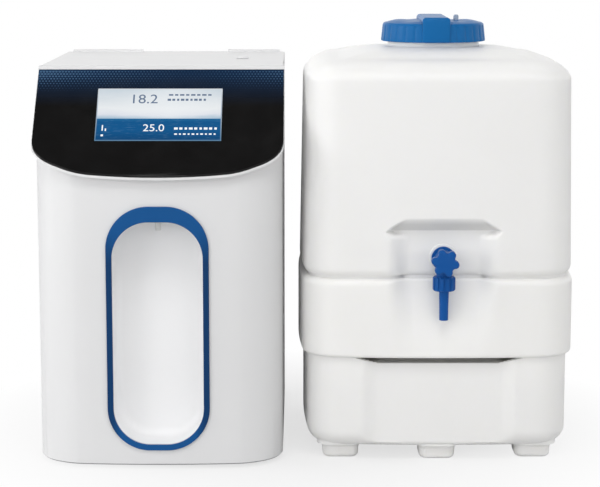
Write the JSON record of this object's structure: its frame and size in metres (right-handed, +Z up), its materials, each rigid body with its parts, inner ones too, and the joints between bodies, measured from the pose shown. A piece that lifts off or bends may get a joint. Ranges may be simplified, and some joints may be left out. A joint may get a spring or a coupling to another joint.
{
  "type": "ultrapure water system",
  "caption": "White bench cabinet with slanted black touch panel and tall dispensing niche in a blue frame, beside a moulded white storage tank with screw cap and tap.",
  "frame": {"origin": "middle of the whole set's footprint, on the bench top", "axes": "+Z up, the fronts face -Y, cabinet at -X and tank at +X"},
  "size_m": [0.6875, 0.4656, 0.561],
  "materials": {
    "white_casing": "satin moulded",
    "rear_sheet": "fine textured paint",
    "black_fascia": "high gloss",
    "screen": "gloss, lit from behind",
    "blue_frame": "gloss",
    "blue_cap": "satin moulded",
    "blue_tap": "satin moulded",
    "tank_plastic": "satin moulded",
    "rubber": "matte",
    "tray_metal": "plain paint",
    "steel": "brushed",
    "module_metal": "plain",
    "motor_metal": "plain paint",
    "board": "solder-resist",
    "vessel_white": "gloss",
    "fitting_white": "moulded",
    "tube": "translucent",
    "black_plastic": "moulded",
    "collet": "moulded",
    "contact": "plain"
  },
  "bodies": {
    "base": {"front_cover": "white_casing", "side_panel_left": "white_casing", "side_panel_right": "white_casing", "rear_bridge": "white_casing", "control_bezel": "white_casing", "niche_liner": "white_casing", "rear_panel": "rear_sheet", "control_fascia": "black_fascia", "touch_screen": "screen", "niche_frame": "blue_frame", "tap_body": "blue_tap", "tap_collar_nut": "blue_tap", "tap_spout": "blue_tap", "tap_back_nut": "blue_tap", "tank_shell": "tank_plastic", "rubber_feet": "rubber", "tap_gasket": "rubber", "base_tray": "tray_metal", "cartridge_deck": "tray_metal", "hinge_pins": "steel", "cover_screws": "steel", "fan_guard": "steel", "lamp_chamber": "steel", "display_module": "module_metal", "power_supply": "module_metal", "booster_pump_motor": "motor_metal", "control_board": "board", "pretreatment_cartridge": "vessel_white", "polishing_cartridge": "vessel_white", "membrane_housing_left": "vessel_white", "membrane_housing_right": "vessel_white", "final_filter": "vessel_white", "head_elbows": "fitting_white", "cabinet_ports": "fitting_white", "tank_ports": "fitting_white", "dispense_nozzle": "fitting_white", "port_nuts": "fitting_white", "valve_manifold": "fitting_white", "head_tubes": "tube", "fan_frame": "black_plastic", "mains_inlet": "black_plastic", "power_switch_frame": "black_plastic", "booster_pump_head": "black_plastic", "recirculation_pump": "black_plastic", "solenoid_valves": "black_plastic", "level_transducer": "black_plastic", "conductivity_cell": "black_plastic", "port_collets": "collet", "inlet_contacts": "contact"},
    "lid": {"top_lid": "white_casing"},
    "lid_plug": {"lid_plug": "white_casing"},
    "rocker": {"power_rocker": "black_plastic"},
    "fan": {"fan_rotor": "black_plastic"},
    "cap_seal": {"cap_gasket": "rubber"},
    "cap": {"tank_cap": "blue_cap", "cap_vent": "vessel_white"},
    "tap_handle": {"tap_knob": "blue_tap", "tap_spindle": "steel"}
  },
  "joints": [
    {"name": "lid_hinge", "type": "hinge", "parent": "base", "child": "lid", "pos_m": [-0.18625, 0.2052, 0.498], "axis": [-1, 0, 0], "range_deg": [0, 75]},
    {"name": "plug_pull", "type": "slide", "parent": "lid", "child": "lid_plug", "axis": [0, 0, 1], "range_m": [0, 0.015]},
    {"name": "power_rocker_hinge", "type": "hinge", "parent": "base", "child": "rocker", "pos_m": [-0.10225, 0.2162, 0.112], "axis": [-1, 0, 0], "range_deg": [0, 16]},
    {"name": "fan_spin", "type": "hinge", "parent": "base", "child": "fan", "pos_m": [-0.25625, 0.1912, 0.387], "axis": [0, 1, 0], "continuous": true},
    {"name": "cap_lift", "type": "slide", "parent": "base", "child": "cap_seal", "axis": [0, 0, 1], "range_m": [0, 0.07]},
    {"name": "cap_turn", "type": "hinge", "parent": "cap_seal", "child": "cap", "pos_m": [0.16625, -0.0238, 0.5415], "axis": [0, 0, 1], "range_deg": [0, 540]},
    {"name": "tap_turn", "type": "hinge", "parent": "base", "child": "tap_handle", "pos_m": [0.17125, -0.1853, 0.262], "axis": [0, -1, 0], "range_deg": [0, 360]}
  ]
}
